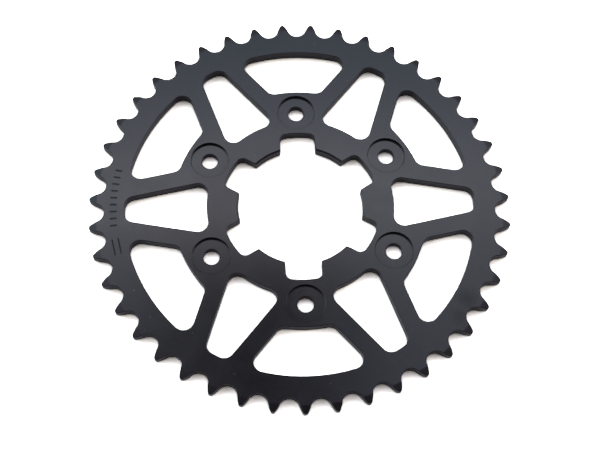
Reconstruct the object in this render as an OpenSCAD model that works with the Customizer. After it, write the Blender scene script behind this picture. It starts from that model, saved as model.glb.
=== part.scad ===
// Motorcycle rear sprocket: one flat machined plate with a toothed rim, twelve
// spokes, six bolt bosses and a lugged hub opening.
// Millimetres. The hub axis is Z, the back (mounting) face is at Z = 0, and the
// front face, which holds the bolt-head recesses, looks along +Z.
// One bolt hole sits on +Y.

/* [Chain and teeth] */
// Chain pitch, roller centre to roller centre
chain_pitch = 15.875; // [12.7:0.005:19.05]
// Number of teeth
teeth = 43; // [38:1:52]
// Radius of the seat that a chain roller rests in
seat_r = 5.2; // [5.1:0.02:5.3]
// Angle from the root to the end of the roller seat
seat_angle = 69; // [66:1:72]
// Radius of the bulging tooth flank
flank_r = 20; // [16:1:40]
// Radius of the fully rounded tooth tip
tip_r = 1.45; // [1.2:0.05:1.6]
// Direction of one tooth's middle, counter-clockwise from +X
tooth_at = 210; // [0:1:359]
// Distance from the tooth tip to the inner edge of the turned bevel
bevel_w = 4.2; // [2:0.1:5]
// Depth of the turned bevel at the tooth tip, on each face
bevel_d = 0.95; // [0.4:0.05:1.6]

/* [Plate] */
// Thickness of the plate
plate_t = 6; // [5.5:0.1:7.2]

/* [Hub opening] */
// Diameter of the broken pilot bore that the six lugs form
pilot_d = 66.3; // [60:0.1:72]
// Size of the lead-in chamfer on the front edge of the pilot bore
pilot_chamfer = 0.8; // [0.2:0.1:1]
// Diameter across the outer walls of the notches
notch_d = 84.2; // [80:0.1:90]
// Width of a notch between two lugs
notch_w = 18.9; // [14:0.1:22]
// Corner radius at the outer end of a notch
notch_corner_r = 3.5; // [1:0.1:5]

/* [Bolt holes] */
// Number of bolt holes, bosses and lugs
bolts = 6; // [6]
// Diameter of the bolt circle
bolt_circle_d = 110; // [108:0.5:114]
// Diameter of a bolt hole
bolt_hole_d = 8.5; // [8.2:0.1:10.5]
// Chamfer on both ends of a bolt hole
bolt_chamfer = 0.25; // [0.1:0.05:0.5]
// Diameter of the round recess for a bolt head
recess_d = 20.1; // [18:0.1:22]
// Depth of the recess
recess_depth = 1.7; // [0.5:0.1:2.5]

/* [Spokes and windows] */
// Width of a spoke
spoke_w = 9.35; // [8:0.05:11]
// Distance from the hub axis to a spoke's middle line
spoke_offset = 28.67; // [28:0.05:30]
// Lean of a spoke from the middle line of its inner window
spoke_lean = 11; // [10:0.5:12]
// Diameter at the inside of the toothed rim
rim_inner_d = 185.6; // [182:0.1:190]
// Diameter at the inner edge of the outer windows
boss_ring_d = 135.2; // [132:0.1:138]
// Diameter at the outside of the hub ring
hub_ring_d = 99.3; // [96:0.1:102]
// Corner radius of the windows
window_corner_r = 5.4; // [3:0.1:6]

/* [Hidden] */

// Directions of the bolt bosses and, half a step on, of the inner windows
bolt_step = 360 / bolts;
first_bolt = 90;
first_inner = first_bolt + bolt_step / 2;

// Chain geometry
tooth_step = 360 / teeth;
pitch_r = chain_pitch / (2 * sin(tooth_step / 2));

// Arc steps, in degrees, for tight corners and for long rims
corner_step = 9;
rim_step = 2.5;
// Cutters overshoot the faces and the tooth tips by this much
clear = 1;
round_fn = 180;
small_fn = 64;

// Points along an arc about c, from angle a0 to angle a1
function arc(c, r, a0, a1, step) =
    let (n = max(2, ceil(abs(a1 - a0) / step)))
    [for (i = [0:n]) c + r * [cos(a0 + (a1 - a0) * i / n), sin(a0 + (a1 - a0) * i / n)]];

// The same points mirrored across the X axis, in the opposite order
function mirrored(points) = [for (i = [len(points) - 1:-1:0]) [points[i].x, -points[i].y]];

// The point at radius r whose offset along the unit normal n is d, on the side of t
function on_line(n, t, d, r) = d * n + sqrt(r * r - d * d) * t;

// ---- Tooth gap: a gap's middle line lies on +X ----
// End of the roller seat, and the flank's direction there
seat_c = [pitch_r, 0];
flank_start = seat_c + seat_r * [-cos(seat_angle), sin(seat_angle)];
flank_c = flank_start + flank_r * [-cos(seat_angle), sin(seat_angle)];
// The tip arc's middle lies on the tooth's middle line, half a tooth step round,
// where it touches the flank from inside
tooth_mid = [cos(tooth_step / 2), sin(tooth_step / 2)];
tip_reach = flank_r - tip_r;
flank_along = flank_c * tooth_mid;
flank_across = flank_c * [-tooth_mid.y, tooth_mid.x];
tip_c = (flank_along + sqrt(tip_reach * tip_reach - flank_across * flank_across)) * tooth_mid;
outside_r = norm(tip_c) + tip_r;
touch = (tip_c - flank_c) / tip_reach;
touch_angle = atan2(touch.y, touch.x);

// Half of the gap's outline, from the flank's start out to the tip of the tooth
half_gap = concat(
    arc(flank_c, flank_r, -seat_angle, touch_angle, rim_step),
    [for (p = arc(tip_c, tip_r, touch_angle, tooth_step / 2, corner_step)) p]
);

module tooth_gap() {
    // The roller seat stays a true cylinder
    translate([seat_c.x, 0, -clear])
        cylinder(r = seat_r, h = plate_t + 2 * clear, $fn = small_fn);
    reach = (outside_r + clear) * tooth_mid;
    translate([0, 0, -clear])
        linear_extrude(height = plate_t + 2 * clear)
            polygon(concat([seat_c], half_gap, [reach], mirrored([reach]), mirrored(half_gap)));
}

// A disc whose two faces fall away in a shallow turned bevel towards the tips
module bevelled_disc() {
    flat_r = outside_r - bevel_w;
    rotate_extrude($fn = round_fn)
        polygon([
            [0, 0],
            [flat_r, 0],
            [outside_r, bevel_d],
            [outside_r, plate_t - bevel_d],
            [flat_r, plate_t],
            [0, plate_t]
        ]);
}

// ---- Outer window: outboard of a boss, its middle line on +X ----
outer_lean = spoke_lean + bolt_step / 2;
outer_side = [-sin(outer_lean), cos(outer_lean)];
outer_along = [cos(outer_lean), sin(outer_lean)];
outer_side_d = -(spoke_offset + spoke_w / 2);
outer_rim_c = on_line(outer_side, outer_along, outer_side_d - window_corner_r, rim_inner_d / 2 - window_corner_r);
outer_hub_c = on_line(outer_side, outer_along, outer_side_d - window_corner_r, boss_ring_d / 2 + window_corner_r);

function direction(v) = atan2(v.y, v.x);

half_outer = concat(
    arc([0, 0], boss_ring_d / 2, 0, direction(outer_hub_c), rim_step),
    arc(outer_hub_c, window_corner_r, direction(outer_hub_c) + 180, direction(outer_side), corner_step),
    arc(outer_rim_c, window_corner_r, direction(outer_side), direction(outer_rim_c), corner_step),
    arc([0, 0], rim_inner_d / 2, direction(outer_rim_c), 0, rim_step)
);

// ---- Inner window: between two bosses, its middle line on +X ----
inner_side = [sin(spoke_lean), cos(spoke_lean)];
inner_along = [cos(spoke_lean), -sin(spoke_lean)];
inner_side_d = spoke_offset - spoke_w / 2;
inner_rim_c = on_line(inner_side, inner_along, inner_side_d - window_corner_r, rim_inner_d / 2 - window_corner_r);
inner_hub_c = on_line(inner_side, inner_along, inner_side_d - window_corner_r, hub_ring_d / 2 + window_corner_r);

half_inner = concat(
    arc([0, 0], hub_ring_d / 2, 0, direction(inner_hub_c), rim_step),
    arc(inner_hub_c, window_corner_r, direction(inner_hub_c) + 180, direction(inner_side), corner_step),
    arc(inner_rim_c, window_corner_r, direction(inner_side), direction(inner_rim_c), corner_step),
    arc([0, 0], rim_inner_d / 2, direction(inner_rim_c), 0, rim_step)
);

// ---- Notch between two lugs: its middle line on +X ----
notch_r = notch_d / 2;
notch_c = on_line([0, 1], [1, 0], notch_w / 2 - notch_corner_r, notch_r - notch_corner_r);
half_notch = concat(
    [[0, notch_w / 2]],
    arc(notch_c, notch_corner_r, 90, direction(notch_c), corner_step),
    arc([0, 0], notch_r, direction(notch_c), 0, rim_step)
);

// A straight cut through the plate, from the upper half of its outline
module through_cut(half) {
    translate([0, 0, -clear])
        linear_extrude(height = plate_t + 2 * clear)
            polygon(concat(half, mirrored(half)));
}

module hub_opening() {
    translate([0, 0, -clear])
        cylinder(d = pilot_d, h = plate_t + 2 * clear, $fn = round_fn);
    translate([0, 0, plate_t - pilot_chamfer])
        cylinder(
            d1 = pilot_d,
            d2 = pilot_d + 2 * (pilot_chamfer + clear),
            h = pilot_chamfer + clear,
            $fn = round_fn
        );
    for (i = [0:bolts - 1])
        rotate([0, 0, first_bolt + i * bolt_step])
            through_cut(half_notch);
}

// Bolt hole with its chamfers and the recess that the bolt head sits in
module bolt_seat() {
    floor_z = plate_t - recess_depth;
    translate([0, 0, -clear])
        cylinder(d = bolt_hole_d, h = plate_t + 2 * clear, $fn = small_fn);
    translate([0, 0, -clear])
        cylinder(
            d1 = bolt_hole_d + 2 * (bolt_chamfer + clear),
            d2 = bolt_hole_d,
            h = bolt_chamfer + clear,
            $fn = small_fn
        );
    translate([0, 0, floor_z - bolt_chamfer])
        cylinder(
            d1 = bolt_hole_d,
            d2 = bolt_hole_d + 2 * (bolt_chamfer + clear),
            h = bolt_chamfer + clear,
            $fn = small_fn
        );
    translate([0, 0, floor_z])
        cylinder(d = recess_d, h = recess_depth + clear, $fn = small_fn);
}

module sprocket_plate() {
    color([0.1, 0.105, 0.115])
        difference() {
            bevelled_disc();
            for (i = [0:teeth - 1])
                rotate([0, 0, tooth_at + (i + 0.5) * tooth_step])
                    tooth_gap();
            for (i = [0:bolts - 1])
                rotate([0, 0, first_bolt + i * bolt_step])
                    through_cut(half_outer);
            for (i = [0:bolts - 1])
                rotate([0, 0, first_inner + i * bolt_step])
                    through_cut(half_inner);
            for (i = [0:bolts - 1])
                rotate([0, 0, first_bolt + i * bolt_step])
                    translate([bolt_circle_d / 2, 0, 0])
                        bolt_seat();
            hub_opening();
        }
}

sprocket_plate();
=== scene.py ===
"""Motorcycle rear sprocket: the machined plate with its edges, marks and satin black coat."""
import math

import bpy
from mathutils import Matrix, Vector
from mathutils.geometry import delaunay_2d_cdt


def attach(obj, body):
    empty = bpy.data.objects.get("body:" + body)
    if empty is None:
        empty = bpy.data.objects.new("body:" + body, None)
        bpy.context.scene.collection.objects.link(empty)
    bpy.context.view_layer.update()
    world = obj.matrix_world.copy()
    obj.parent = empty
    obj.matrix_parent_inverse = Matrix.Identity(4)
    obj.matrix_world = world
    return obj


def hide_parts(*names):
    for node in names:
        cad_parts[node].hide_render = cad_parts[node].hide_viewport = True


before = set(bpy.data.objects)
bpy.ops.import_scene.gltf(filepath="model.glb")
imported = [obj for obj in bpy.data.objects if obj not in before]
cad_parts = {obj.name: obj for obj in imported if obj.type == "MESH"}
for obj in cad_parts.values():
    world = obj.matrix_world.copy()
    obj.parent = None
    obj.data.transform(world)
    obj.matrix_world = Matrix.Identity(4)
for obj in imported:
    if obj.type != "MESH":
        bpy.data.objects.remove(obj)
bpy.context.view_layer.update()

# ---------------------------------------------------------------- sizes, in millimetres
MM = 0.001

TEETH = 43
CHAIN_PITCH = 15.875
SEAT_R = 5.2
SEAT_ANGLE = math.radians(69)
FLANK_R = 20.0
TIP_R = 1.45
TOOTH_AT = math.radians(210)
BEVEL_W = 4.2
BEVEL_D = 0.95

PLATE_T = 6.0
EDGE_R = 0.35          # rounded break on every long edge
PILOT_EDGE_R = 0.1     # the same on the turned pilot bore
EDGE_STEPS = 3         # facets across a break

PILOT_R = 66.3 / 2
PILOT_CHAMFER = 0.8
NOTCH_R = 84.2 / 2
NOTCH_HALF = 18.9 / 2
NOTCH_CORNER_R = 3.5
LUG_CORNER_R = 0.4

BOLTS = 6
BOLT_CIRCLE_R = 110 / 2
BOLT_R = 8.5 / 2
BOLT_CHAMFER = 0.25
RECESS_R = 20.1 / 2
RECESS_DEPTH = 1.7
RECESS_CHAMFER = 0.25  # edge break at a recess's mouth
RECESS_FILLET = 0.25   # rounding at its foot
FIRST_BOLT = math.radians(90)
BOLT_STEP = 2 * math.pi / BOLTS

SPOKE_W = 9.35
SPOKE_OFFSET = 28.67
SPOKE_LEAN = math.radians(11)
RIM_INNER_R = 185.6 / 2
BOSS_RING_R = 135.2 / 2
HUB_RING_R = 99.3 / 2
WINDOW_CORNER_R = 5.4

MARK_DEPTH = 0.2
MARK_DRAFT = 0.08      # how far a mark's wall leans in on its way down
MARK_WALL_RISE = 0.3   # how far the shading of that wall turns up
MARK_R = 98.6          # radius that the row of marks follows
MARKS = 9
MARK_AT = math.radians(166.8)
MARK_PITCH = math.radians(2.3)
MARK_LENGTH = 3.8
MARK_WIDTH = 1.0
PAIR_AT = math.radians(192.2)
PAIR_LENGTH = 9.2
PAIR_WIDTH = 0.8
PAIR_SPACING = 3.2     # between the two long strokes, centre to centre

# Arc resolution
LONG_STEP = math.radians(1.0)
CORNER_STEP = math.radians(5)
LUG_CORNER_STEP = math.radians(20)  # coarse, because that corner is tiny
SEAT_STEP = math.radians(6)
FLANK_STEP = math.radians(2.5)
TIP_STEP = math.radians(9)
BOLT_SEGMENTS = 72
SLOT_SEGMENTS = 6      # facets round each end of an engraved slot

SAME_SPOT = 1e-6       # points nearer than this are one point
BEVEL_HALVINGS = 40    # steps of the search for the start of a bevel on a flank
CAP_INSIDE = 1         # the triangulation's choice to keep only what its outer ring encloses

TOOTH_STEP = 2 * math.pi / TEETH
PITCH_R = CHAIN_PITCH / (2 * math.sin(TOOTH_STEP / 2))


# ---------------------------------------------------------------- outlines
class Spot:
    """A point on an outline and the direction into the metal there.

    turned says how far the edge has the pilot bore's small break, from 0 to 1.
    crease marks where the edge crosses the start of a slope on the face.
    """

    def __init__(self, x, y, nx, ny, turned=0.0, crease=False):
        self.x, self.y, self.nx, self.ny = x, y, nx, ny
        self.turned = turned
        self.crease = crease

    def spun(self, angle):
        c, s = math.cos(angle), math.sin(angle)
        return Spot(
            self.x * c - self.y * s,
            self.x * s + self.y * c,
            self.nx * c - self.ny * s,
            self.nx * s + self.ny * c,
            self.turned,
            self.crease,
        )

    def flipped(self):
        return Spot(self.x, -self.y, self.nx, -self.ny, self.turned, self.crease)

    def inset(self, d):
        return self.x + self.nx * d, self.y + self.ny * d


def arc(centre, r, start, end, step, metal_outside, turned=0.0):
    """Points along an arc. The metal lies outside the circle at a hollow corner, inside it at a bulge."""
    n = max(2, math.ceil(abs(end - start) / step))
    way = 1 if metal_outside else -1
    spots = []
    for i in range(n + 1):
        a = start + (end - start) * i / n
        c, s = math.cos(a), math.sin(a)
        spots.append(Spot(centre[0] + r * c, centre[1] + r * s, way * c, way * s, turned))
    return spots


def both_sides(half):
    """A half outline, from the mirror line round to the mirror line, closed with its mirror image."""
    rest = [s.flipped() for s in reversed(half)]
    return half + [s for s in rest if abs(s.y) > SAME_SPOT]


def joined(*runs):
    """Runs of points end to end, without the doubled point where two runs meet."""
    out = []
    for run in runs:
        for s in run:
            if not out or math.hypot(s.x - out[-1].x, s.y - out[-1].y) > SAME_SPOT:
                out.append(s)
    return out


def corner_centre(side, along, d, r):
    """The point at radius r from the hub axis whose offset along the side's normal is d."""
    reach = math.sqrt(r * r - d * d)
    return d * side[0] + reach * along[0], d * side[1] + reach * along[1]


def angle_of(v):
    return math.atan2(v[1], v[0])


def window(side, along, side_d, hub_r):
    """A four-sided window on +X: arcs at the hub side and the rim, slanted sides, rounded corners."""
    rim_c = corner_centre(side, along, side_d - WINDOW_CORNER_R, RIM_INNER_R - WINDOW_CORNER_R)
    hub_c = corner_centre(side, along, side_d - WINDOW_CORNER_R, hub_r + WINDOW_CORNER_R)
    hub_a, rim_a, side_a = angle_of(hub_c), angle_of(rim_c), angle_of(side)
    return both_sides(joined(
        arc((0, 0), hub_r, 0, hub_a, LONG_STEP, False),
        arc(hub_c, WINDOW_CORNER_R, hub_a + math.pi, side_a, CORNER_STEP, True),
        arc(rim_c, WINDOW_CORNER_R, side_a, rim_a, CORNER_STEP, True),
        arc((0, 0), RIM_INNER_R, rim_a, 0, LONG_STEP, True),
    ))


def outer_window():
    """The window outboard of a bolt boss."""
    lean = SPOKE_LEAN + BOLT_STEP / 2
    side = (-math.sin(lean), math.cos(lean))
    along = (math.cos(lean), math.sin(lean))
    return window(side, along, -(SPOKE_OFFSET + SPOKE_W / 2), BOSS_RING_R)


def inner_window():
    """The window between two bolt bosses."""
    side = (math.sin(SPOKE_LEAN), math.cos(SPOKE_LEAN))
    along = (math.cos(SPOKE_LEAN), -math.sin(SPOKE_LEAN))
    return window(side, along, SPOKE_OFFSET - SPOKE_W / 2, HUB_RING_R)


def hub_opening():
    """The pilot bore, broken by six notches."""
    lug_c = corner_centre((0, 1), (1, 0), NOTCH_HALF + LUG_CORNER_R, PILOT_R + LUG_CORNER_R)
    notch_c = corner_centre((0, 1), (1, 0), NOTCH_HALF - NOTCH_CORNER_R, NOTCH_R - NOTCH_CORNER_R)
    lug_a, notch_a = angle_of(lug_c), angle_of(notch_c)
    right_angle = math.pi / 2
    chamfer_x = math.sqrt((PILOT_R + PILOT_CHAMFER) ** 2 - (NOTCH_HALF + EDGE_R) ** 2)
    corner = arc(lug_c, LUG_CORNER_R, -right_angle, lug_a - math.pi, LUG_CORNER_STEP, False)
    for i, s in enumerate(corner):
        s.turned = i / (len(corner) - 1)
    upper = joined(
        arc((0, 0), NOTCH_R, 0, notch_a, LONG_STEP, True),
        arc(notch_c, NOTCH_CORNER_R, notch_a, right_angle, CORNER_STEP, True),
        [Spot(chamfer_x, NOTCH_HALF, 0, 1, crease=True)],
        corner,
        arc((0, 0), PILOT_R, lug_a, BOLT_STEP / 2, LONG_STEP, True, turned=1.0),
    )
    sector = [s.flipped() for s in reversed(upper[1:-1])] + upper
    ring = []
    for i in range(BOLTS):
        ring += [s.spun(FIRST_BOLT + i * BOLT_STEP) for s in sector]
    return ring


def toothed_rim():
    """The outline of seats, bulging flanks and round tips, and the radius where the bevel starts."""
    seat_end = math.pi - SEAT_ANGLE
    start = (PITCH_R + SEAT_R * math.cos(seat_end), SEAT_R * math.sin(seat_end))
    flank_c = (start[0] - FLANK_R * math.cos(SEAT_ANGLE), start[1] + FLANK_R * math.sin(SEAT_ANGLE))
    half = TOOTH_STEP / 2
    mid = (math.cos(half), math.sin(half))
    along = flank_c[0] * mid[0] + flank_c[1] * mid[1]
    across = flank_c[1] * mid[0] - flank_c[0] * mid[1]
    reach = FLANK_R - TIP_R
    tip_at = along + math.sqrt(reach * reach - across * across)
    tip_c = (tip_at * mid[0], tip_at * mid[1])
    touch = math.atan2(tip_c[1] - flank_c[1], tip_c[0] - flank_c[0])

    # The bevel starts where the inner edge of the rounded break crosses this radius
    flat_r = tip_at + TIP_R - BEVEL_W
    low, high = -SEAT_ANGLE, touch
    inner_r = FLANK_R - EDGE_R
    for _ in range(BEVEL_HALVINGS):
        a = (low + high) / 2
        r = math.hypot(flank_c[0] + inner_r * math.cos(a), flank_c[1] + inner_r * math.sin(a))
        low, high = (a, high) if r < flat_r else (low, a)
    lower_flank = arc(flank_c, FLANK_R, -SEAT_ANGLE, low, FLANK_STEP, False)
    lower_flank[-1].crease = True
    upper = joined(
        arc((PITCH_R, 0), SEAT_R, math.pi, seat_end, SEAT_STEP, True),
        lower_flank,
        arc(flank_c, FLANK_R, low, touch, FLANK_STEP, False),
        arc(tip_c, TIP_R, touch, half, TIP_STEP, False),
    )
    gap = [s.flipped() for s in reversed(upper[1:-1])] + upper
    ring = []
    for i in range(TEETH):
        ring += [s.spun(TOOTH_AT + (i + 0.5) * TOOTH_STEP) for s in gap]
    return ring, flat_r


# ---------------------------------------------------------------- mesh
# How rough the metal was under the coat, as the material reads it
GROUND = 0.0
CUT = 1.0
ENGRAVED = 5.0


class Shell:
    """Vertices and faces with a normal at each face corner, so that rounded breaks shade true."""

    def __init__(self):
        self.points = []
        self.faces = []
        self.normals = []
        self.finishes = []
        self.finish = GROUND

    def add(self, x, y, z):
        self.points.append((x * MM, y * MM, z * MM))
        return len(self.points) - 1

    def face(self, corners, normals):
        a, b, c = (Vector(self.points[i]) for i in (corners[0], corners[1], corners[-1]))
        facing = (b - a).cross(c - a)
        if facing.dot(sum((Vector(n) for n in normals), Vector())) < 0:
            corners, normals = corners[::-1], normals[::-1]
        self.faces.append(tuple(corners))
        self.finishes.append(self.finish)
        self.normals.extend(tuple(Vector(n).normalized()) for n in normals)

    def band(self, low, high, low_n, high_n):
        """A closed strip of quads between two rings of vertices."""
        n = len(low)
        for i in range(n):
            j = (i + 1) % n
            self.face((low[i], low[j], high[j], high[i]), (low_n[i], low_n[j], high_n[j], high_n[i]))

    def build(self, name):
        mesh = bpy.data.meshes.new(name)
        mesh.from_pydata(self.points, [], self.faces)
        for p in mesh.polygons:
            p.use_smooth = True
        finish = mesh.attributes.new("cut", "FLOAT", "FACE")
        finish.data.foreach_set("value", self.finishes)
        mesh.normals_split_custom_set(self.normals)
        piece = bpy.data.objects.new(name, mesh)
        bpy.context.scene.collection.objects.link(piece)
        return piece


class Face:
    """One flat side of the plate: which way it looks, and its height less the tooth bevel and the chamfer."""

    def __init__(self, up, flat_r):
        self.up = up
        self.flat_r = flat_r
        self.chamfer_r = PILOT_R + PILOT_CHAMFER if up > 0 else 0.0
        self.slope = BEVEL_D / BEVEL_W

    def height(self, x, y, drop=0.0):
        r = math.hypot(x, y)
        fall = drop + max(0.0, r - self.flat_r) * self.slope + max(0.0, self.chamfer_r - r)
        return PLATE_T - fall if self.up > 0 else fall

    def slope_at(self, r):
        """How steeply the face falls outwards at radius r. The chamfer falls inwards at 45 degrees."""
        if r > self.flat_r:
            return self.slope
        return -1.0 if r < self.chamfer_r else 0.0

    def normal(self, x, y, slope):
        r = math.hypot(x, y)
        return slope * x / r, slope * y / r, float(self.up)


def edge_profile(spot, k):
    """How far in and down the k-th ring of a rounded edge lies, and its tilt from the wall to the face."""
    tilt = k / EDGE_STEPS * math.pi / 2
    r = EDGE_R + (PILOT_EDGE_R - EDGE_R) * spot.turned
    return r * (1 - math.cos(tilt)), r * (1 - math.sin(tilt)), tilt


def edge_rings(shell, outline, face):
    """The rings of vertices over one rounded edge, from the wall to the face, with a normal for each."""
    rings, normals = [], []
    for k in range(EDGE_STEPS + 1):
        ring, ring_n = [], []
        for s in outline:
            inward, down, tilt = edge_profile(s, k)
            x, y = s.inset(inward)
            ring.append(shell.add(x, y, face.height(x, y, down)))
            level = face.normal(x, y, face.slope_at(math.hypot(x, y)))
            out, up = math.cos(tilt), math.sin(tilt)
            ring_n.append((level[0] * up - s.nx * out, level[1] * up - s.ny * out, level[2] * up))
        rings.append(ring)
        normals.append(ring_n)
    for k in range(EDGE_STEPS):
        shell.band(rings[k], rings[k + 1], normals[k], normals[k + 1])
    return rings[0], rings[-1]


def walls(shell, outline, front, back):
    """The upright wall of an outline with its two rounded edges. Returns the rings at the flat faces."""
    front_wall, front_ring = edge_rings(shell, outline, front)
    back_wall, back_ring = edge_rings(shell, outline, back)
    out = [(-s.nx, -s.ny, 0.0) for s in outline]
    shell.finish = CUT
    shell.band(back_wall, front_wall, out, out)
    shell.finish = GROUND
    return front_ring, back_ring


def bolt_seat(shell, centre):
    """A recess, its floor and the bolt hole, turned about one axis. Returns the rings at the two faces."""
    seat_z = PLATE_T - RECESS_DEPTH
    mouth = RECESS_R + RECESS_CHAMFER
    hole = BOLT_R + BOLT_CHAMFER
    half = math.sqrt(0.5)
    up, down, inward, slant, under = (0, 1), (0, -1), (-1, 0), (-half, half), (-half, -half)
    # Each corner of the turned profile: radius, height, and the way its two surfaces face
    corners = [
        (mouth, PLATE_T, up, slant),
        (RECESS_R, PLATE_T - RECESS_CHAMFER, slant, inward),
    ]
    for i in range(EDGE_STEPS + 1):
        a = -math.pi / 2 * i / EDGE_STEPS
        c, s = math.cos(a), math.sin(a)
        r, z = RECESS_R + RECESS_FILLET * (c - 1), seat_z + RECESS_FILLET * (s + 1)
        corners.append((r, z, (-c, -s), (-c, -s)))
    corners += [
        (hole, seat_z, up, slant),
        (BOLT_R, seat_z - BOLT_CHAMFER, slant, inward),
        (BOLT_R, BOLT_CHAMFER, inward, under),
        (hole, 0, under, down),
    ]
    rings = []
    for r, z, before, after in corners:
        ring, before_n, after_n = [], [], []
        for i in range(BOLT_SEGMENTS):
            a = 2 * math.pi * i / BOLT_SEGMENTS
            c, s = math.cos(a), math.sin(a)
            ring.append(shell.add(centre[0] + r * c, centre[1] + r * s, z))
            before_n.append((before[0] * c, before[0] * s, before[1]))
            after_n.append((after[0] * c, after[0] * s, after[1]))
        rings.append((ring, before_n, after_n))
    for (low, _, low_n), (high, high_n, _) in zip(rings, rings[1:]):
        shell.band(low, high, low_n, high_n)
    return rings[0][0], rings[-1][0]


def slot_outline(centre, angle, length, width):
    """The outline of a round-ended slot, whose long axis lies at angle."""
    half = (length - width) / 2
    r = width / 2
    outline = []
    for end in (0, 1):
        for i in range(SLOT_SEGMENTS + 1):
            a = -math.pi / 2 + end * math.pi + math.pi * i / SLOT_SEGMENTS
            x = half * (1 - 2 * end) + r * math.cos(a)
            y = r * math.sin(a)
            outline.append((
                centre[0] + x * math.cos(angle) - y * math.sin(angle),
                centre[1] + x * math.sin(angle) + y * math.cos(angle),
            ))
    return outline


def marks(shell):
    """Plain strokes engraved in the front of the rim: an even row across it, and a pair along it."""
    strokes = []
    for i in range(MARKS):
        strokes.append((MARK_R, MARK_AT + i * MARK_PITCH, 0.0, MARK_LENGTH, MARK_WIDTH))
    for side in (-1, 1):
        strokes.append((MARK_R + side * PAIR_SPACING / 2, PAIR_AT, math.pi / 2, PAIR_LENGTH, PAIR_WIDTH))
    up = (0.0, 0.0, 1.0)
    rings = []
    shell.finish = ENGRAVED
    for r, a, turn, length, width in strokes:
        cx, cy = r * math.cos(a), r * math.sin(a)
        top = slot_outline((cx, cy), a + turn, length, width)
        bottom = slot_outline((cx, cy), a + turn, length - 2 * MARK_DRAFT, width - 2 * MARK_DRAFT)
        top_ring = [shell.add(x, y, PLATE_T) for x, y in top]
        bottom_ring = [shell.add(x, y, PLATE_T - MARK_DEPTH) for x, y in bottom]
        lean = [(cx - x, cy - y, MARK_WALL_RISE) for x, y in top]
        shell.band(top_ring, bottom_ring, lean, lean)
        shell.face(bottom_ring, [up] * len(bottom_ring))
        rings.append(top_ring)
    shell.finish = GROUND
    return rings


def in_polygon(x, y, polygon):
    """Whether a point lies inside a closed outline."""
    inside = False
    px, py = polygon[-1]
    for qx, qy in polygon:
        if (qy > y) != (py > y) and x < (px - qx) * (y - qy) / (py - qy) + qx:
            inside = not inside
        px, py = qx, qy
    return inside


def creases(shell, face, ring, outline, radius, pitch):
    """The start of a slope across each tooth or lug, as an arc between two marked points of the edge."""
    found = []
    marked = [i for i, s in enumerate(outline) if s.crease]
    for a, b in zip(marked, marked[1:] + marked[:1]):
        start = angle_of(shell.points[ring[a]])
        width = (angle_of(shell.points[ring[b]]) - start) % (2 * math.pi)
        if width > pitch / 2:
            continue
        n = max(4, math.ceil(width / LONG_STEP))
        middle = []
        for i in range(1, n):
            t = start + width * i / n
            middle.append(shell.add(radius * math.cos(t), radius * math.sin(t), face.height(0, radius)))
        found.append([ring[a], *middle, ring[b]])
    return found


def cap(shell, face, rings, lines):
    """Fills one flat side between its closed rings, the toothed rim first, split along the lines."""
    points, index, edges, place = [], [], [], {}

    def put(i):
        if i not in place:
            place[i] = len(points)
            points.append(Vector(shell.points[i][:2]))
            index.append(i)
        return place[i]

    for chain in [ring + ring[:1] for ring in rings] + lines:
        ids = [put(i) for i in chain]
        edges.extend(zip(ids, ids[1:]))
    _, _, triangles, origin, _, _ = delaunay_2d_cdt(points, edges, [], CAP_INSIDE, SAME_SPOT * MM)
    real = [index[o[0]] for o in origin]
    flats = [[shell.points[i][:2] for i in ring] for ring in rings[1:]]
    boxes = [(min(x), max(x), min(y), max(y)) for x, y in (zip(*f) for f in flats)]
    for t in triangles:
        corners = tuple(real[i] for i in t)
        spots = [shell.points[i][:2] for i in corners]
        x, y = (sum(v) / 3 for v in zip(*spots))
        holes = sum(
            x0 < x < x1 and y0 < y < y1 and in_polygon(x, y, flat)
            for flat, (x0, x1, y0, y1) in zip(flats, boxes)
        )
        if holes:
            continue
        slope = face.slope_at(math.hypot(x, y) / MM)
        shell.face(corners, [face.normal(*p, slope) for p in spots])


def plate():
    """The whole sprocket: the walls of every outline, the bolt seats, and the two faces between them."""
    shell = Shell()
    rim, flat_r = toothed_rim()
    front, back = Face(1, flat_r), Face(-1, flat_r)
    outlines = [rim, hub_opening()]
    outer, inner = outer_window(), inner_window()
    for i in range(BOLTS):
        turn = FIRST_BOLT + i * BOLT_STEP
        outlines.append([s.spun(turn) for s in outer])
        outlines.append([s.spun(turn + BOLT_STEP / 2) for s in inner])
    edges = [walls(shell, outline, front, back) for outline in outlines]
    for i in range(BOLTS):
        turn = FIRST_BOLT + i * BOLT_STEP
        edges.append(bolt_seat(shell, (BOLT_CIRCLE_R * math.cos(turn), BOLT_CIRCLE_R * math.sin(turn))))
    front_rings, back_rings = (list(rings) for rings in zip(*edges))
    front_lines = creases(shell, front, front_rings[0], rim, flat_r, TOOTH_STEP)
    front_lines += creases(shell, front, front_rings[1], outlines[1], front.chamfer_r, BOLT_STEP)
    back_lines = creases(shell, back, back_rings[0], rim, flat_r, TOOTH_STEP)
    cap(shell, front, front_rings + marks(shell), front_lines)
    cap(shell, back, back_rings, back_lines)
    return shell.build("machined_plate")


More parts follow.
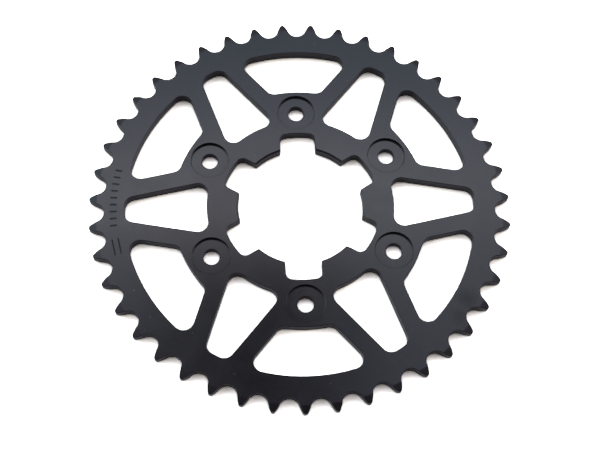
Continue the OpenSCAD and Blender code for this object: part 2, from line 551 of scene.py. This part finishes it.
# ---------------------------------------------------------------- materials
# Scales are in texture cells per metre
NOISE_RANGE = (0.3, 0.7)  # where most of a noise texture's values lie
COAT_IOR = 1.5
COAT_DARK = (0.0075, 0.0075, 0.0078)
COAT_LIGHT = (0.0105, 0.0105, 0.0110)
COAT_MOTTLE_SCALE = 400
COAT_ROUGHNESS = (0.16, 0.19)
CLOUD_SCALE = 45
CLOUD_DETAIL = 5.0
CLOUD_DISTORTION = 0.6
FINE_DETAIL = 3.0      # for the mottle, the grain and the paper
CUT_DULL = 0.08        # roughness that a finish of 1 adds
DUST = (0.10, 0.10, 0.10)
DUST_SCALE = 900
DUST_DETAIL = 0.0      # a smooth noise, so that its specks are round
DUST_FROM = (0.88, 0.92)
GRAIN_SCALE = 1800
GRAIN_HEIGHT = 0.00002
GRAIN_STRENGTH = 0.2

# A dull smear on the rim: the radius in millimetres and the angle of each of its two middles,
# how far from them in metres it fades out, and how ragged and how dull it is
SMEAR_AT = [(100.5, math.radians(-34)), (102.0, math.radians(-40))]
SMEAR_FADE = (0.007, 0.016)
SMEAR_RAGGED = 0.014
SMEAR_DULL = 0.25

PAPER_LOW = (0.89, 0.88, 0.83)
PAPER_HIGH = (0.91, 0.90, 0.85)
PULP_SCALE = 60
PAPER_PRINT_GAIN = (4.6, 4.65, 4.1)  # how many times whiter it is shown than it is lit


class Nodes:
    """A node tree being put together. Each call makes a node, feeds its inputs and returns an output."""

    def __init__(self, tree):
        self.tree = tree
        tree.nodes.clear()

    def add(self, kind, inputs=None, output=0, **settings):
        node = self.tree.nodes.new("ShaderNode" + kind)
        for name, value in settings.items():
            setattr(node, name, value)
        for name, value in (inputs or {}).items():
            if isinstance(value, bpy.types.NodeSocket):
                self.tree.links.new(value, node.inputs[name])
            else:
                node.inputs[name].default_value = value
        return None if output is None else node.outputs[output]

    def math(self, operation, *values):
        return self.add("Math", dict(enumerate(values)), operation=operation)

    def ease(self, value, start, end, low=0.0, high=1.0):
        """Goes smoothly from low to high as value goes from start to end."""
        inputs = {"Value": value, "From Min": start, "From Max": end, "To Min": low, "To Max": high}
        return self.add("MapRange", inputs, interpolation_type="SMOOTHSTEP")

    def mix(self, share, none, full):
        """The colour none where share is 0, going to full where it is 1.

        Inputs 6 and 7 and output 2 are the node's colour sockets.
        """
        inputs = {0: share}
        for socket, colour in ((6, none), (7, full)):
            inputs[socket] = (*colour, 1) if isinstance(colour, tuple) else colour
        return self.add("Mix", inputs, 2, data_type="RGBA")

    def noise(self, vector, scale, detail, **inputs):
        return self.add("TexNoise", {"Vector": vector, "Scale": scale, "Detail": detail, **inputs})


def smear_distance(n, place):
    """How far a place is from the nearer of the two middles of the smear on the rim, in metres."""
    away = []
    for r, a in SMEAR_AT:
        middle = (r * MM * math.cos(a), r * MM * math.sin(a), PLATE_T * MM)
        away.append(n.add("VectorMath", {0: place, 1: middle}, "Value", operation="DISTANCE"))
    return n.math("MINIMUM", *away)


def black_coat():
    """Satin black coating: fine grain, faint cloudy gloss, and duller where the metal under it was cut."""
    material = bpy.data.materials.new("satin_black_coat")
    material.use_nodes = True
    n = Nodes(material.node_tree)
    place = n.add("TexCoord", output="Object")
    cut = n.add("Attribute", attribute_type="GEOMETRY", attribute_name="cut", output="Fac")

    clouds = n.noise(place, CLOUD_SCALE, CLOUD_DETAIL, Distortion=CLOUD_DISTORTION)
    base = n.ease(clouds, *NOISE_RANGE, *COAT_ROUGHNESS)
    dull = n.math("MULTIPLY", cut, CUT_DULL)
    ragged = n.math("MULTIPLY_ADD", clouds, SMEAR_RAGGED, smear_distance(n, place))
    smear = n.ease(ragged, *SMEAR_FADE, 1.0, 0.0)
    roughness = n.math("MULTIPLY_ADD", smear, SMEAR_DULL, n.math("ADD", base, dull))

    mottle = n.ease(n.noise(place, COAT_MOTTLE_SCALE, FINE_DETAIL), *NOISE_RANGE)
    coat = n.mix(mottle, COAT_DARK, COAT_LIGHT)
    specks = n.ease(n.noise(place, DUST_SCALE, DUST_DETAIL), *DUST_FROM)
    colour = n.mix(specks, coat, DUST)

    grain = n.noise(place, GRAIN_SCALE, FINE_DETAIL)
    bump = n.add("Bump", {"Height": grain, "Strength": GRAIN_STRENGTH, "Distance": GRAIN_HEIGHT})
    surface = {"Base Color": colour, "Roughness": roughness, "Normal": bump, "IOR": COAT_IOR}
    n.add("OutputMaterial", {"Surface": n.add("BsdfPrincipled", surface)}, output=None)
    return material


def white_sweep():
    """White paper, printed whiter than it is lit where it is seen directly.

    From underneath it can be seen through, so that the back of the object shows.
    """
    material = bpy.data.materials.new("white_sweep")
    material.use_nodes = True
    n = Nodes(material.node_tree)
    pulp = n.noise(n.add("TexCoord", output="Object"), PULP_SCALE, FINE_DETAIL)
    paper = n.mix(pulp, PAPER_LOW, PAPER_HIGH)
    seen = n.add("LightPath", output="Is Camera Ray")
    gain = n.mix(seen, (1, 1, 1), PAPER_PRINT_GAIN)
    colour = n.add("VectorMath", {0: paper, 1: gain}, operation="MULTIPLY")
    underneath = n.add("NewGeometry", output="Backfacing")
    above = n.add("BsdfDiffuse", {"Color": colour})
    sheet = n.add("MixShader", {0: underneath, 1: above, 2: n.add("BsdfTransparent")})
    n.add("OutputMaterial", {"Surface": sheet}, output=None)
    return material


# ---------------------------------------------------------------- the object
piece = plate()
piece.data.materials.append(black_coat())
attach(piece, "root")
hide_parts("sprocket_plate")


# ---------------------------------------------------------------- floor, light and camera
FLOOR_HALF = 6.0
FLOOR_Z = -0.0002

# The room's light from the front of the sky (0), over the top (0.5), to the back (1)
ROOM = [
    (0.05, (0.02, 0.02, 0.02)),
    (0.18, (0.25, 0.25, 0.27)),
    (0.38, (0.01, 0.01, 0.01)),
    (0.48, (0.55, 0.50, 0.58)),
    (0.55, (0.60, 0.52, 0.85)),
    (0.65, (1.15, 1.25, 1.45)),
    (0.75, (0.95, 1.20, 1.45)),
    (0.85, (0.60, 0.50, 0.70)),
    (1.00, (0.30, 0.40, 0.40)),
]

# The room's right side is dimmer, from and to these sideways parts of the direction
RIGHT_TINT = (0.74, 0.63, 0.62)
RIGHT_FROM = (0.25, 0.6)

# Where the head is on the level ceiling, its half widths there, and its soft edge as a share of them
LOWEST = 0.08          # no direction is taken as flatter than this
HEAD_Y = 0.30
HEAD_HALF_X = 0.11
HEAD_HALF_Y = 0.16
HEAD_EDGE = (0.75, 1.25)
HEAD_SHADE = 0.05      # share of the room's light that still comes from there

# The softbox on the same ceiling: its edge towards the front, and its fades to the back and the sides
SOFTBOX = (3.1, 2.8, 3.1)
BOX_NEAR_EDGE = (0.37, 0.43)
BOX_FAR_FADE = (0.40, 0.58)
BOX_SIDE_FADE = (0.0, 0.52)

# The glow at both sides, by how far the direction goes sideways, up, and back
SIDE_GLOW = (1.25, 1.25, 1.3)
GLOW_SIDEWAYS = (0.58, 0.74)
GLOW_UP = (0.3, 0.5)
GLOW_LOW_SHARE = 0.45
GLOW_BACK = (-0.5, -0.1)

LENS_MM = 64.0
SENSOR_MM = 36
CAMERA_AT = Vector((-0.0283, -0.2234, 0.5236))
CAMERA_AIM = Vector((-0.0008, -0.0106, 0.003))
CAMERA_ROLL = math.radians(5.07)


def floor():
    h, z = FLOOR_HALF, FLOOR_Z
    mesh = bpy.data.meshes.new("floor")
    mesh.from_pydata([(-h, -h, z), (h, -h, z), (h, h, z), (-h, h, z)], [], [(0, 1, 2, 3)])
    mesh.materials.append(white_sweep())
    obj = bpy.data.objects.new("floor", mesh)
    bpy.context.scene.collection.objects.link(obj)


def ramp(n, value, stops):
    """A colour ramp of (position, colour) stops."""
    colour = n.add("ValToRGB", {"Fac": value})
    band = colour.node.color_ramp
    while len(band.elements) < len(stops):
        band.elements.new(0.5)
    for element, (position, shade) in zip(band.elements, stops):
        element.position = position
        element.color = (*shade, 1)
    return colour


def studio_sky():
    """Soft studio surroundings: dim in front, a softbox high at the back, and a glow from each side.

    Overhead, a direction is placed on a level ceiling one unit up: x and y there are its slopes.
    """
    world = bpy.data.worlds.new("studio")
    bpy.context.scene.world = world
    world.use_nodes = True
    n = Nodes(world.node_tree)
    axes = n.add("SeparateXYZ", {0: n.add("TexCoord", output="Generated")}).node.outputs
    height = n.math("MAXIMUM", axes["Z"], LOWEST)
    x = n.math("DIVIDE", axes["X"], height)
    y = n.math("DIVIDE", axes["Y"], height)

    back = n.math("MULTIPLY_ADD", axes["Y"], 0.5, 0.5)
    room = ramp(n, back, ROOM)

    # The photographer's head and hands hide part of the room overhead
    head_x = n.math("DIVIDE", x, HEAD_HALF_X)
    head_y = n.math("DIVIDE", n.math("SUBTRACT", y, HEAD_Y), HEAD_HALF_Y)
    squares = n.math("ADD", n.math("POWER", head_x, 2.0), n.math("POWER", head_y, 2.0))
    unhidden = n.ease(n.math("SQRT", squares), *HEAD_EDGE, HEAD_SHADE, 1.0)
    right = n.mix(n.ease(axes["X"], *RIGHT_FROM), (1, 1, 1), RIGHT_TINT)
    room = n.add("VectorMath", {0: room, 1: right}, operation="MULTIPLY")

    near_edge = n.ease(y, *BOX_NEAR_EDGE)
    far_fade = n.ease(y, *BOX_FAR_FADE, 1.0, 0.0)
    side_fade = n.ease(n.math("ABSOLUTE", x), *BOX_SIDE_FADE, 1.0, 0.0)
    box = n.math("MULTIPLY", n.math("MULTIPLY", near_edge, far_fade), side_fade)
    beside = n.ease(n.math("ABSOLUTE", axes["X"]), *GLOW_SIDEWAYS)
    glow = n.math("MULTIPLY", beside, n.ease(axes["Z"], *GLOW_UP, GLOW_LOW_SHARE, 1.0))
    glow = n.math("MULTIPLY", glow, n.ease(axes["Y"], *GLOW_BACK))

    light = n.add("VectorMath", {0: room, "Scale": unhidden}, operation="SCALE")
    for colour, share in ((SOFTBOX, box), (SIDE_GLOW, glow)):
        lamp = n.add("VectorMath", {0: colour, "Scale": share}, operation="SCALE")
        light = n.add("VectorMath", {0: light, 1: lamp}, operation="ADD")

    # Seen directly, the surroundings are a plain white backdrop
    seen = n.add("LightPath", output="Is Camera Ray")
    shown = n.mix(seen, light, (1, 1, 1))
    n.add("OutputWorld", {"Surface": n.add("Background", {"Color": shown, "Strength": 1.0})}, output=None)


def camera():
    data = bpy.data.cameras.new("camera")
    data.sensor_width = SENSOR_MM
    data.lens = LENS_MM
    obj = bpy.data.objects.new("camera", data)
    obj.location = CAMERA_AT
    obj.rotation_euler = (CAMERA_AT - CAMERA_AIM).to_track_quat("Z", "Y").to_euler()
    obj.rotation_euler.rotate_axis("Z", CAMERA_ROLL)
    bpy.context.scene.collection.objects.link(obj)
    bpy.context.scene.camera = obj


floor()
studio_sky()
camera()
bpy.context.scene.view_settings.view_transform = "Standard"
